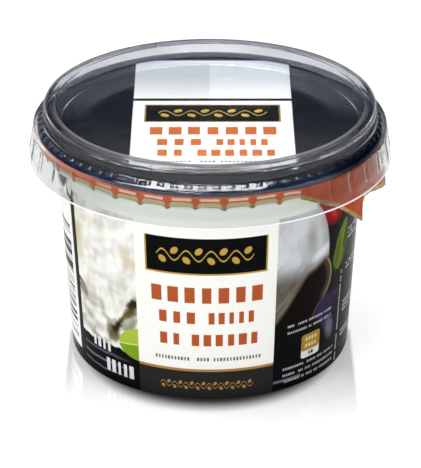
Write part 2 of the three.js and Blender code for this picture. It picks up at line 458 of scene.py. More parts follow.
def vine_shape():
    """A wavy stem with a small leaf in each bend: a plain ornament for a banner."""
    sizes = ["Left", "Right", "Middle Up", "Height", "Period", "Stem"]
    s, given = new_group("vine", ["Across", "Up"] + sizes, ["Mask"])
    along = given["Across"] - given["Left"]
    turns = along / given["Period"]
    up = given["Up"] - given["Middle Up"]
    wave = s.math("SINE", turns * (2 * math.pi)) * (given["Height"] * 0.24)
    stem = s.math("LESS_THAN", abs(up - wave), given["Stem"])
    half_turns = turns * 2.0
    bend = s.math("FLOOR", half_turns)
    side = s.math("MODULO", bend, 2.0).scaled(2.0, -1.0)
    middle = side * (given["Height"] * 0.22)
    leaf_up = (up - middle) / (given["Height"] * 0.17)
    leaf_across = (half_turns - bend - 0.5) / 0.3 + leaf_up * side * -0.35
    squares = leaf_across * leaf_across + leaf_up * leaf_up
    mask = s.math("MAXIMUM", stem, s.math("LESS_THAN", squares, 1.0))
    mask = mask * s.math("GREATER_THAN", along, 0.0)
    return give(s, Mask=mask * s.math("LESS_THAN", given["Across"], given["Right"]))


WALL = wall_coordinates()
BLOCK = block_shape()
OVAL = oval_shape()
LEAF = leaf_shape()
ROWS = rows_shape()
VINE = vine_shape()


def srgb(red, green, blue):
    """A colour as seen on a screen, 0 to 255, as a linear colour."""

    def linear(value):
        share = value / 255
        return share / 12.92 if share <= 0.04045 else ((share + 0.055) / 1.055) ** 2.4

    return (linear(red), linear(green), linear(blue), 1.0)


class Print:
    """Inks laid over each other on a surface whose places are Across and Up, in millimetres."""

    def __init__(self, shader, across, up, colour):
        self.shader = shader
        self.across = across
        self.up = up
        self.colour = colour

    def ink(self, colour, mask, share=1.0):
        mask = mask if share == 1.0 else mask * share
        self.colour = self.shader.mix(mask, self.colour, colour)

    def mask(self, group, **sizes):
        return self.shader.use(group, Across=self.across, Up=self.up, **sizes)["Mask"]

    def block_mask(self, left, right, bottom, top, corner=0.0, blur=0.06):
        sides = {"Left": left, "Right": right, "Bottom": bottom, "Top": top}
        return self.mask(BLOCK, **sides, Corner=corner, Blur=blur)

    def oval_mask(self, across, up, half_width, half_height, turn, blur):
        sizes = {"Half_Width": half_width, "Half_Height": half_height, "Turn": turn, "Blur": blur}
        return self.mask(OVAL, Middle_Across=across, Middle_Up=up, **sizes)

    def block(self, colour, left, right, bottom, top, corner=0.0, blur=0.06, share=1.0):
        self.ink(colour, self.block_mask(left, right, bottom, top, corner, blur), share)

    def ovals(self, *ovals):
        """Ovals, each an ink, a middle, half sizes, a turn, a blur and maybe a share."""
        for colour, across, up, half_width, half_height, turn, blur, *share in ovals:
            self.ink(colour, self.oval_mask(across, up, half_width, half_height, turn, blur), *share)

    def leaf(self, colour, rib, shade, across, up, half_length, half_width, turn, roundness):
        out = self.shader.use(
            LEAF, Across=self.across, Up=self.up, Middle_Across=across, Middle_Up=up,
            Half_Length=half_length, Half_Width=half_width, Turn=turn, Roundness=roundness, Blur=0.1,
        )
        self.ink(self.shader.mix(out["Side"], shade, colour), out["Mask"])
        self.ink(rib, out["Rib"])

    def rows(self, colour, left, right, bottom, top, lines, columns, gap, line_gap, fill, seed):
        sides = {"Left": left, "Right": right, "Bottom": bottom, "Top": top}
        counts = {"Lines": lines, "Columns": columns, "Gap": gap, "Line_Gap": line_gap}
        self.ink(colour, self.mask(ROWS, **sides, **counts, Fill=fill, Seed=seed))

    def words(self, colour, gap, rows):
        """Single rows of blocks, each given by its sides and its number of blocks."""
        for seed, (left, right, bottom, top, blocks) in enumerate(rows, 1):
            self.rows(colour, left, right, bottom, top, 1, blocks, gap, 0.0, ALL_SHOWN, seed)

    def vine(self, colour, left, right, middle, height, period, stem):
        sizes = {"Middle_Up": middle, "Height": height, "Period": period, "Stem": stem}
        self.ink(colour, self.mask(VINE, Left=left, Right=right, **sizes))

    def crescent(self, colour, across, up, radius, thickness, left, blur, share):
        """The part of a ring that lies right of an edge."""
        rings = [
            self.oval_mask(across, up, size, size, 0.0, blur)
            for size in (radius, radius - thickness)
        ]
        band = self.shader.math("SUBTRACT", *rings, clamp=True)
        side = self.across.ramp(left, left + 2 * radius / 5)
        self.ink(colour, band * side, share)


def new_material(name):
    """A material with its Shader and its Object coordinates."""
    material = bpy.data.materials.new(name)
    material.use_nodes = True
    material.node_tree.nodes.clear()
    shader = Shader(material.node_tree)
    return material, shader, shader.node("ShaderNodeTexCoord").outputs["Object"]


def plastic(shader, colour, roughness, specular=0.5, index=1.5, bump=None):
    """Ends a material with an opaque Principled surface."""
    surface = shader.node("ShaderNodeBsdfPrincipled", {
        "Base Color": colour,
        "Roughness": roughness,
        "Specular IOR Level": specular,
        "IOR": index,
    })
    if bump:
        height, strength, distance = bump
        lumps = {"Height": height, "Strength": strength, "Distance": distance}
        shader.feed(surface.inputs["Normal"], shader.node("ShaderNodeBump", lumps).outputs["Normal"])
    shader.node("ShaderNodeOutputMaterial", {"Surface": surface.outputs["BSDF"]})
    return surface


# ---- inks

BLACK_INK = (0.0035, 0.0036, 0.0038, 1)
BAND_BLACK = (0.019, 0.019, 0.018, 1)
CREAM = (0.832, 0.828, 0.785, 1)
GOLD_INK = srgb(178, 146, 66)
BAR_GOLD = srgb(165, 122, 66)
RUST = srgb(168, 82, 43)
GREY_INK = srgb(110, 105, 100)
CHEESE = srgb(234, 234, 228)
CHEESE_DULL = srgb(198, 198, 189)
CHEESE_SHADE = srgb(150, 140, 124)
CHEESE_YELLOW = srgb(196, 182, 134)
CURD_GREY = srgb(140, 140, 122)
OLIVE = srgb(92, 78, 32)
OLIVE_SHADE = srgb(44, 38, 14)
WEDGE_SHADE = srgb(58, 52, 52)
WEDGE_BROWN = srgb(146, 134, 130)
LEAF_GREEN = srgb(158, 182, 60)
LEAF_LIGHT = srgb(196, 212, 116)
LEAF_SHADE = srgb(118, 150, 34)
LILAC_GREY = srgb(134, 128, 148)
SMALL_WHITE = srgb(212, 212, 214)
FAINT_WHITE = srgb(176, 176, 180)
BALL = srgb(196, 200, 202)
BALL_DULL = srgb(178, 181, 182)
BALL_LIGHT = srgb(214, 218, 220)
BALL_SHADE = srgb(140, 137, 134)
BELLY = srgb(112, 106, 100)
BELLY_DARK = srgb(84, 76, 68)
HOLLOW_BROWN = srgb(70, 58, 34)
HOLLOW = (0.0045, 0.0028, 0.0022, 1)
RIM = srgb(150, 142, 118)
RED = srgb(150, 12, 20)
RED_LIGHT = srgb(206, 70, 70)
RED_SHADE = srgb(96, 4, 10)
POD_GREEN = srgb(92, 112, 4)
POD_LIGHT = srgb(150, 166, 60)
POD_SHADE = srgb(48, 68, 4)
PURPLE = srgb(46, 36, 68)
PURPLE_SHADE = srgb(16, 11, 26)
BADGE_GOLD = srgb(156, 124, 44)
BADGE_LIGHT = srgb(206, 186, 130)
BAR_BLACK = srgb(18, 17, 20)
MAROON_PAINTED_SHADE = srgb(88, 40, 46)
BARE_WALL = srgb(236, 240, 233)
FOOT_BROWN = srgb(84, 68, 48)
FILM_BLACK = (0.0042, 0.005, 0.0075, 1)
NAVY = (0.003, 0.008, 0.026, 1)
FOLD_RUST = srgb(194, 84, 32)
FOLD_BARE = srgb(190, 174, 132)
FOLD_DARK = srgb(158, 116, 68)
FOLD_PAINTED_HIGHLIGHT = srgb(243, 204, 188)
FILM_PAINTED_SHEEN = (0.04, 0.044, 0.054, 1)
FILM_RUST = srgb(176, 90, 34)
FILM_GOLD = srgb(128, 104, 54)
PANEL_TINT = (0.96, 0.965, 0.97, 1)
RING_SHADE_TINT = (0.78, 0.79, 0.81, 1)
RING_SIDE_SHADE_TINT = (0.71, 0.72, 0.745, 1)
SKIRT_SHADE_TINT = (0.71, 0.725, 0.715, 1)
SKIRT_FOOT_SHADE_TINT = (0.75, 0.76, 0.755, 1)
SKIRT_LEFT_SHADE_TINT = (0.57, 0.585, 0.58, 1)
SKIRT_FLANK_SHADE_TINT = (0.6, 0.61, 0.61, 1)
SHOULDER_SHADE_TINT = (0.09, 0.1, 0.14, 1)
SHADOW_TINT = (0.95, 0.955, 0.95, 1)
# Refractive indices of the overcap's sheet and of the label.
SHEET_INDEX = 1.37
LABEL_INDEX = 1.07
BAR_MODULE = 0.384
CURD_LUMPS = 0.14
# A fill past 1 leaves out none of a row's blocks.
ALL_SHOWN = 1.1


def lumps_at(shader, across, up, shift):
    """Soft lumps over the label, a few millimetres across, moved by a shift down to the right."""
    right = across.scaled(CURD_LUMPS, CURD_LUMPS * shift)
    down = up.scaled(CURD_LUMPS, -CURD_LUMPS * shift)
    return shader.noise(shader.joined(right, down, 3.0), 1.0)


def curd_print(shader, art, place):
    """Left of the panel: a broken pale curd with creases, a dark cleft, and a leaf below it."""
    across = art.across
    up = art.up
    warp = shader.noise(place, 150.0, 6.0, 0.62, 0.3).scaled(5.0, -2.5)
    art.across = across + warp
    art.up = up - warp
    curd = art.block_mask(-47.0, -18.0, 11.6, 90.0, 4.5, 0.35)
    low = up.ramp(34.0, 15.0)
    # The curd's relief, lit from the upper left: the difference of two shifted copies.
    near = lumps_at(shader, across, up, 0.0)
    lit = (near - lumps_at(shader, across, up, 1.3)).scaled(2.6, 0.65)
    art.ink(shader.mix(lit.ramp(0.0, 1.0), CHEESE_DULL, CHEESE), curd)
    crease = near.ramp(0.5, 0.36) * low.scaled(0.8, 0.12)
    art.ink(CHEESE_SHADE, crease * curd)
    art.ovals(
        (CHEESE_YELLOW, -43.0, 41.0, 2.4, 5.5, -6, 2.0, 0.75),
        (CHEESE_YELLOW, -38.5, 48.6, 3.6, 1.0, 22, 1.0, 0.4),
        (CHEESE_YELLOW, -36.0, 37.0, 2.6, 0.7, -35, 0.7, 0.4),
        (CHEESE_YELLOW, -22.6, 40.6, 1.7, 4.0, 36, 1.4, 0.55),
        (CHEESE_YELLOW, -24.2, 32.2, 1.4, 0.6, 35, 0.5, 0.6),
        (CHEESE_SHADE, -39.6, 18.6, 3.6, 1.1, -28, 1.2, 0.75),
        (CHEESE_SHADE, -40.0, 15.0, 2.8, 1.4, -12, 1.2, 0.7),
        (CHEESE_SHADE, -34.4, 15.6, 3.0, 1.1, 8, 1.2, 0.55),
        (OLIVE, -24.2, 23.4, 1.6, 6.0, -32, 0.9),
        (OLIVE_SHADE, -27.6, 18.2, 1.5, 4.0, -36, 0.9),
        (OLIVE, -28.6, 14.8, 2.6, 1.6, 20, 0.9, 0.9),
        (OLIVE_SHADE, -21.8, 27.4, 2.4, 1.5, 30, 0.8),
        (CURD_GREY, -23.2, 20.4, 2.0, 3.6, -32, 0.9),
        (CHEESE_DULL, -23.9, 21.6, 0.9, 2.0, -30, 0.9, 0.55),
    )
    art.across = across
    art.up = up
    art.ovals(
        (WEDGE_SHADE, -42.5, 26.2, 3.4, 1.5, -42, 0.25),
        (WEDGE_BROWN, -42.1, 25.8, 2.9, 1.0, -42, 0.35),
    )
    art.leaf(LEAF_GREEN, LEAF_LIGHT, LEAF_SHADE, -19.2, 15.0, 8.2, 5.2, 8, 0.55)
    grain = shader.noise(place, 60.0, 3.0, 0.6)
    for middle, half, share in ((8.6, 0.7, 0.35), (5.9, 0.55, 0.7), (3.3, 0.4, 0.6)):
        bend = grain.scaled(2.4, middle - 1.2)
        streak = abs(up - bend).ramp(half, 0.0) * share
        ends = across.ramp(-44.0, -42.5) * across.ramp(-22.0, -31.0)
        art.ink(LILAC_GREY, streak * ends)
    art.rows(SMALL_WHITE, -38.6, -30.4, 9.4, 12.6, 1, 4, 0.5, 0.0, ALL_SHOWN, 21)
    art.rows(SMALL_WHITE, -33.2, -22.4, 3.2, 7.2, 1, 5, 0.5, 0.0, ALL_SHOWN, 22)


def fruit_print(shader, art, place):
    """Right of the panel, behind the ball: a violet cloth, a red fruit and a green pod."""
    folds = shader.noise(place, 60.0, 3.0)
    cloth = shader.mix(folds.ramp(0.4, 0.62), PURPLE_SHADE, PURPLE)
    art.block(cloth, 31.5, 43.3, 12.4, 25.5, 1.6, 1.2)
    art.ovals(
        (LILAC_GREY, 39.4, 14.2, 1.6, 2.8, 12, 1.4, 0.6),
        (BLACK_INK, 31.6, 12.0, 5.4, 9.6, 22, 0.8),
        (RED_SHADE, 36.6, 55.3, 6.6, 8.9, 24, 0.3),
        (RED, 37.2, 55.0, 5.3, 7.4, 24, 1.4),
        (RED_LIGHT, 37.6, 51.0, 0.8, 2.0, 30, 0.7, 0.6),
    )
    art.leaf(POD_GREEN, POD_LIGHT, POD_SHADE, 43.6, 38.6, 7.6, 3.6, 78, 0.7)
    art.ovals(
        (POD_GREEN, 41.9, 35.6, 2.7, 4.0, -6, 0.3),
        (POD_SHADE, 41.2, 36.4, 1.0, 4.2, -8, 1.0, 0.7),
    )


def ball_print(shader, art, place):
    """Right of the panel: a pale ball with a dark hollow, in front of the fruit."""
    across = art.across
    up = art.up
    smear = shader.noise(place, 110.0, 4.0, 0.6)
    ball = art.oval_mask(17.5, 38.0, 19.2, 24.5, 0.0, 0.3)
    bulge = art.oval_mask(30.6, 31.6, 8.0, 8.2, 0.0, 0.25)
    whole = shader.math("MAXIMUM", ball, bulge)
    art.ink(shader.mix(smear.ramp(0.4, 0.66), BALL, BALL_DULL), whole)
    art.ovals(
        (BALL_SHADE, 29.6, 45.6, 1.6, 4.0, 6, 1.8, 0.8),
        (BALL_SHADE, 35.6, 45.0, 2.0, 6.5, 14, 2.0, whole * 0.6),
    )
    # Streaks run down to the left over the belly, which is in shade below a level line.
    slant = up * 0.6 - across * 0.8
    along = up * 0.8 + across * 0.6
    streak = shader.noise(shader.joined(slant * 0.55, along * 0.12, 7.0), 1.0, 4.0, 0.6)
    level = up + streak.scaled(7.0, -3.5)
    belly = shader.mix(streak.ramp(0.38, 0.62), BELLY, BELLY_DARK)
    art.ink(belly, level.ramp(41.5, 33.0) * whole)
    art.ovals((BALL_LIGHT, 33.6, 40.0, 3.6, 1.3, 24, 0.9, whole * 0.9))
    # The dark hollow lies under a bent edge inside the ball.
    from_bend = across - 28.5
    edge = shader.math("MINIMUM", from_bend * 1.31, from_bend * 0.36) + 34.6
    below = edge - (up + smear.scaled(1.6, -0.8))
    art.ink(HOLLOW_BROWN, below.ramp(-1.2, 0.4) * whole)
    art.ink(HOLLOW, below.ramp(-0.2, 1.4) * whole)
    art.crescent(RIM, 30.6, 31.6, 8.0, 0.6, 34.0, 0.25, 0.8)
    art.crescent(HOLLOW_BROWN, 30.6, 31.6, 7.5, 1.6, 33.0, 0.6, 0.8)
    art.block(BLACK_INK, 18.0, 31.0, 0.0, 21.6, 0.0, 1.2)
    art.block(LILAC_GREY, 18.6, 28.0, 2.7, 3.5, 0.2, 0.2, 0.6)


def front_print(art):
    """A cream panel over a black band, with a banner and three rows of rust blocks."""
    art.block(BAND_BLACK, -20.7, 18.4, 0.0, 9.1)
    art.block(CREAM, -20.7, 18.4, 9.85, 90.0)
    art.block(BAR_GOLD, -20.6, 18.3, 9.1, 9.9)
    art.block(GOLD_INK, -17.6, 15.6, 39.35, 50.9)
    art.block(BLACK_INK, -17.15, 15.15, 39.85, 60.0)
    art.block(CREAM, -17.7, 15.7, 50.5, 62.0)
    art.vine(GOLD_INK, -14.3, 11.7, 45.2, 6.4, 6.5, 0.24)
    art.words(RUST, 0.46, [
        (-16.9, 15.2, 30.7, 35.5, 7),
        (-14.9, -3.2, 24.2, 27.8, 3),
        (-0.9, 12.7, 24.2, 27.8, 5),
        (-14.7, -7.5, 17.3, 20.9, 2),
        (-5.6, 14.0, 17.3, 20.9, 6),
    ])
    art.rows(GREY_INK, -16.5, 14.5, 12.5, 13.6, 1, 34, 0.45, 0.0, 0.86, 6)
    art.vine(BAR_GOLD, -14.2, 12.4, 4.6, 3.4, 3.3, 0.13)


def label_print(shader, place):
    """The label's inks, laid from the back to the front."""
    across, up, _ = shader.on_wall(place)
    art = Print(shader, across, up, BLACK_INK)
    curd_print(shader, art, place)
    fruit_print(shader, art, place)
    ball_print(shader, art, place)

    # Small print, a badge and an upright line of dots at the right.
    art.rows(FAINT_WHITE, 22.5, 40.0, 16.9, 21.0, 2, 30, 0.45, 0.66, 0.84, 3)
    art.rows(FAINT_WHITE, 21.5, 42.5, 1.6, 7.6, 3, 34, 0.45, 0.64, 0.84, 5)
    art.block(SMALL_WHITE, 27.8, 35.0, 8.1, 15.5, 0.9)
    art.block(BADGE_GOLD, 27.8, 35.0, 10.3, 15.5, 0.9)
    art.rows(BADGE_LIGHT, 29.0, 33.8, 10.9, 15.0, 2, 4, 0.4, 0.45, ALL_SHOWN, 7)
    art.rows(BLACK_INK, 30.4, 32.6, 8.7, 9.9, 1, 2, 0.4, 0.1, ALL_SHOWN, 8)
    art.rows(SMALL_WHITE, 44.2, 44.9, 1.0, 30.0, 44, 1, 0.1, 0.5, 0.8, 9)
    for bottom, lines in ((38, 3), (28.5, 2), (15, 3), (7, 2)):
        top = bottom + 1.3 * lines
        art.rows(SMALL_WHITE, 47.5, 56.0, bottom, top, lines, 12, 0.4, 0.55, 0.86, bottom)
    front_print(art)

    # Left edge: a black rule and a ladder of bars on cream, which runs on to the back.
    art.block(CREAM, -90.0, -46.6, 4.0, 90.0)
    bars = shader.math("FLOOR", up / BAR_MODULE)
    draw = shader.node("ShaderNodeTexWhiteNoise", {"W": bars}, noise_dimensions="1D").outputs["Value"]
    dark = shader.math("GREATER_THAN", draw, 0.48)
    art.ink(BAR_BLACK, dark * art.block_mask(-69.0, -48.4, 6.5, 43.0, 0.0, 0.02))
    art.block(BLACK_INK, -46.4, -44.0, 0.0, 90.0)
    # Above the pictures the wall is bare and pale, except right of the ball.
    art.block(BARE_WALL, -90.0, 30.6, 54.5, 90.0, 0.0, 0.5)
    # A maroon patch under the overcap's left flank is painted shade and painted reflection of the
    # dark rule seen through the pads.
    art.block(MAROON_PAINTED_SHADE, -58.0, -47.6, 52.5, 60.5, 1.0, 0.5)
    art.block(FOOT_BROWN, -140.0, 140.0, -1.0, 0.35)
    return art.colour


def back_print(shader, place):
    """The label's far side: small print as rows of dashes, a table, and a vine."""
    across, up, _ = shader.on_wall(place)
    art = Print(shader, shader.math("FLOORED_MODULO", across, LABEL_TURN), up, BLACK_INK)
    art.block(SMALL_WHITE, 62.0, 92.0, 12.0, 50.0, 0.8)
    art.block(BLACK_INK, 62.4, 91.6, 12.4, 46.6, 0.5)
    art.rows(BLACK_INK, 64.0, 84.0, 47.4, 49.2, 1, 9, 0.35, 0.0, ALL_SHOWN, 31)
    art.rows(SMALL_WHITE, 64.0, 78.0, 14.0, 45.6, 14, 10, 0.4, 0.62, 0.8, 32)
    art.rows(SMALL_WHITE, 83.0, 90.0, 14.0, 45.6, 14, 4, 0.4, 0.62, 0.95, 33)
    art.vine(GOLD_INK, 99.0, 127.0, 45.0, 7.0, 7.0, 0.24)
    for seed, bottom in ((35, 26.0), (36, 8.0)):
        art.rows(FAINT_WHITE, 99.0, 127.0, bottom, bottom + 12.0, 7, 22, 0.4, 0.6, 0.86, seed)
    art.rows(FAINT_WHITE, 133.0, 160.0, 10.0, 50.0, 22, 24, 0.4, 0.6, 0.86, 37)
    art.block(BAR_GOLD, 165.4, 168.0, -1.0, 90.0)
    art.block(CREAM, 166.2, 200.0, 4.0, 90.0)
    art.rows(GREY_INK, 169.5, 186.0, 9.0, 50.0, 24, 16, 0.4, 0.5, 0.9, 38)
    art.block(BARE_WALL, 0.0, 300.0, 56.5, 90.0, 0.0, 0.4)
    art.block(FOOT_BROWN, 0.0, 300.0, -1.0, 0.35)
    return art.colour


def label_material(name, print_colour):
    material, shader, place = new_material(name)
    colour = print_colour(shader, place)
    grain = shader.noise(place, 900.0, 2.0)
    cloud = shader.noise(place, 40.0, 3.0)
    roughness = cloud.ramp(0.3, 0.7, 0.2, 0.28)
    plastic(shader, colour, roughness, index=LABEL_INDEX, bump=(grain, 0.04, 0.0002))
    return material


def base_material():
    """Bare pale plastic of the underside."""
    material, shader, place = new_material("bare base")
    cloud = shader.noise(place, 60.0, 3.0)
    colour = shader.mix(cloud, srgb(214, 216, 208), srgb(228, 230, 224))
    plastic(shader, colour, 0.35, specular=0.4, bump=(cloud, 0.1, 0.0002))
    return material


def fold_print(shader, art, place, out, up):
    """Rust ink on the film's fold, with an uneven edge over the bare sheet."""
    wavy = up + shader.noise(place, 400.0, 3.0).scaled(0.5, -0.25)
    # At the left the fold rides up, and at the right it lies lower, down to the tab.
    across = shader.on_wall(place)[0]
    raised = across.ramp(-90.0, -70.0) * 0.4 * across.ramp(-18.0, -34.0)
    lowered = across.ramp(13.0, 24.0) * across.ramp(72.0, 60.0)
    wavy = wavy - raised + lowered * 0.65
    folded = out.ramp(46.6, 46.8)
    art.ink(FOLD_RUST, wavy.ramp(65.3, 65.45, 1.0, 0.0) * folded)
    # The rust ink runs lower where the overcap's grooves press on the fold.
    off_groove = shader.off_middle(across * (PAD_COUNT / LABEL_TURN))
    dripping = wavy + off_groove.ramp(0.0, 0.2, 1.0, 0.0)
    bare = dripping.ramp(63.5, 63.7, 1.0, 0.0)
    sheet = shader.mix(off_groove.ramp(0.04, 0.13), FOLD_DARK, FOLD_BARE)
    art.ink(sheet, bare * folded)
    # Between the grooves a pale band is painted highlight: the light that each pad's sloped top
    # catches, weaker at the left.
    pad_highlight = wavy.ramp(63.9, 64.1) * wavy.ramp(64.85, 64.65)
    pad_highlight = pad_highlight * off_groove.ramp(0.12, 0.2, 0.0, 0.9)
    pad_highlight = pad_highlight * across.ramp(-32.0, -18.0, 0.3, 1.0)
    art.ink(FOLD_PAINTED_HIGHLIGHT, pad_highlight * folded)


def film_material():
    """Dark printed film: a white panel on top, rust ink on the fold and a bare edge."""
    material, shader, place = new_material("printed film")
    across, deep, up = [part / MM for part in shader.parts(place)]
    out = shader.length(across, deep)
    # A bluish painted sheen lightens the black film towards the back, outside the middle of the
    # panel.
    painted_sheen = out.ramp(33.0, 36.5) * deep.ramp(0.0, 22.0, 0.0, 0.85)
    art = Print(shader, across, deep, shader.mix(painted_sheen, FILM_BLACK, FILM_PAINTED_SHEEN))
    art.ink(NAVY, out.ramp(45.6, 46.2))
    # The white panel's ink is painted darker towards the back: painted shade.
    white = shader.mix(deep.ramp(12.0, 36.0), srgb(222, 222, 221), srgb(168, 171, 177))
    art.block(white, -21.6, 23.1, -30.5, 44.2)
    art.block(BLACK_INK, -21.6, 23.1, 15.9, 17.7)
    art.block(FILM_GOLD, -18.3, 19.8, 0.95, 13.2)
    art.block(BLACK_INK, -17.8, 19.3, 1.5, 12.7)
    art.vine(GOLD_INK, -14.5, 16.0, 7.2, 7.0, 7.5, 0.28)
    art.words(FILM_RUST, 0.42, [
        (-17.4, 19.1, -7.7, -2.5, 7),
        (-15.3, -1.5, -14.9, -10.7, 3),
        (1.2, 16.4, -14.9, -10.7, 5),
        (-15.0, -6.5, -22.0, -17.8, 2),
        (-4.0, 18.4, -22.0, -17.8, 6),
    ])
    art.rows(GREY_INK, -18.0, 19.0, -26.2, -25.0, 1, 34, 0.4, 0.0, 0.86, 6)
    fold_print(shader, art, place, out, up)
    crease = shader.noise(place, 60.0, 4.0, 0.6, 0.4)
    plastic(shader, art.colour, 0.16, specular=0.25, bump=(crease, 0.12, 0.0003))
    return material


def tab_material():
    """The tab's rust ink, with the bare sheet showing along its lower edge."""
    material, shader, place = new_material("printed tab")
    sheet = shader.node("ShaderNodeUVMap", uv_map="sheet").outputs["UV"]
    above_edge = shader.parts(sheet)[1] * (TAB_EDGE_SCALE / MM)
    cloud = shader.noise(place, 320.0, 3.0, 0.6)
    wavy = above_edge + cloud.scaled(0.9, -0.45)
    ink = shader.mix(cloud.ramp(0.35, 0.7), srgb(164, 62, 20), srgb(182, 80, 32))
    bare = shader.mix(cloud.ramp(0.4, 0.65), srgb(146, 118, 68), srgb(180, 156, 104))
    colour = shader.mix(wavy.ramp(1.15, 1.35), bare, ink)
    plastic(shader, colour, 0.3, specular=0.06, bump=(cloud, 0.25, 0.0003))
    return material


def clear_tint_with_painted_shade(shader, across, up, out, back):
    """Palest in the flat panel, and darkest round the back of the shelf: past the panel the colour is
    painted shade.
    """
    aside = abs(across)
    # Past the panel the ring, its sides and the skirt are darkened as painted shade: the skirt less
    # at its foot, most at its left side and flanks.
    past_panel = out.ramp(41.8, 42.6)
    ring = shader.mix(past_panel, PANEL_TINT, RING_SHADE_TINT)
    ring_side = aside.ramp(52.0, 66.0) * aside.ramp(124.0, 112.0)
    ring = shader.mix(ring_side * past_panel, ring, RING_SIDE_SHADE_TINT)
    wall = shader.mix(up.ramp(59.2, 59.8), SKIRT_FOOT_SHADE_TINT, SKIRT_SHADE_TINT)
    wall = shader.mix(across.ramp(-12.0, -38.0), wall, SKIRT_LEFT_SHADE_TINT)
    flank = aside.ramp(40.0, 56.0) * aside.ramp(100.0, 84.0)
    wall = shader.mix(flank, wall, SKIRT_FLANK_SHADE_TINT)
    tint = shader.mix(up.ramp(66.3, 65.9), ring, wall)
    # Round the back and at the right the shelf is painted nearly black: painted shade.
    return shader.mix(back, tint, SHOULDER_SHADE_TINT)


def clear_relief(shader, place, across, up, out, shelf):
    """The sheet's fine relief, in millimetres."""
    aside = abs(across)
    # Fine lines drawn round the ring where the sheet was stretched over its mould.
    steps = shader.joined(out * 5.0, up * 5.0, across * 0.06)
    drawn = shader.noise(steps, 1.0) * shelf.scaled(-0.2, 0.22)
    height = shader.noise(place, 90.0) + drawn
    # Fine upright streaks down the skirt, and an upright mark every few degrees round the ring.
    grain = shader.joined(across * 1.7, up * 0.1, 5.0)
    skirt = up.ramp(66.5, 65.0) * aside.ramp(34.0, 50.0, 0.3, 0.08)
    height = height + shader.noise(grain, 1.0) * skirt
    off_mark = shader.off_middle(across.scaled(MARK_COUNT / LABEL_TURN, 0.46))
    mark = off_mark.ramp(0.022, 0.008) * out.ramp(44.8, 45.2)
    mark = mark * up.ramp(68.0, 68.4)
    height = (height + mark * 1.6) * RELIEF_RISE
    # Fine ridges run out across the shelf.
    from_crest = shader.off_middle(across * (RIDGE_COUNT / LABEL_TURN)) / RIDGE_SHARE
    ridge = shader.math("SUBTRACT", 1.0, from_crest * from_crest, clamp=True) * RIDGE_RISE
    ridge = ridge * out.ramp(RIDGE_INNER, RIDGE_INNER + RIDGE_END)
    ridge = ridge * out.ramp(RIDGE_OUTER, RIDGE_OUTER - RIDGE_END)
    return height + ridge


def clear_index(across, up, out, back):
    """The ring's walls and the skirt mirror less than the crown and the shelf."""
    riser = up.ramp(68.1, 68.4) * up.ramp(71.5, 71.2)
    riser = riser * out.ramp(44.7, 44.9)
    foot = up.ramp(66.25, 66.45) * up.ramp(68.9, 68.5)
    foot = foot * out.ramp(43.6, 43.4)
    index = riser.ramp(0.0, 1.0, SHEET_INDEX, abs(across).ramp(34.0, 46.0, 1.2, 1.06))
    index = foot.ramp(0.0, 1.0, index, 1.1)
    index = up.ramp(66.0, 65.4).ramp(0.0, 1.0, index, 1.24)
    return back.ramp(0.0, 1.0, index, 1.06)


def clear_material():
    """Clear plastic that lets light reach what lies behind it."""
    material, shader, place = new_material("clear sheet")
    across, up, out = shader.on_wall(place)
    # The shelf and the rounded shoulder get painted shade, darkest round the back and at the right.
    shelf = out.ramp(46.3, 46.7) * up.ramp(65.2, 65.6)
    right = across.ramp(24.0, 38.0, 0.0, 0.85)
    back = shelf * shader.math("MAXIMUM", abs(across).ramp(58.0, 70.0), right)
    height = clear_relief(shader, place, across, up, out, shelf)
    raised = shader.node("ShaderNodeBump", {"Height": height, "Distance": MM, "Strength": 1.0})
    surface = shader.node("ShaderNodeBsdfPrincipled", {
        "Base Color": clear_tint_with_painted_shade(shader, across, up, out, back),
        "Transmission Weight": 1.0,
        "IOR": clear_index(across, up, out, back),
        "Roughness": shader.noise(place, 160.0, 3.0).ramp(0.35, 0.75, 0.02, 0.06),
        "Normal": raised.outputs["Normal"],
    })
    shadow = shader.node("ShaderNodeLightPath").outputs["Is Shadow Ray"]
    see_through = shader.node("ShaderNodeBsdfTransparent", {"Color": SHADOW_TINT}).outputs["BSDF"]
    both = {0: shadow, 1: surface.outputs["BSDF"], 2: see_through}
    mixed = shader.node("ShaderNodeMixShader", both).outputs[0]
    shader.node("ShaderNodeOutputMaterial", {"Surface": mixed})
    return material


def cut_edge_and_highlight_material():
    """The sheet's trimmed lower edge: a cut edge scatters light, and its white is also a painted
    highlight of the bright line along the edge.
    """
    material, shader, place = new_material("cut edge and painted highlight")
    nicks = shader.noise(place, 700.0, 3.0)
    colour = shader.mix(nicks, (0.8, 0.83, 0.86, 1), (0.95, 0.96, 0.97, 1))
    plastic(shader, colour, 0.35, specular=0.5, bump=(nicks, 0.2, 0.0002))
    return material


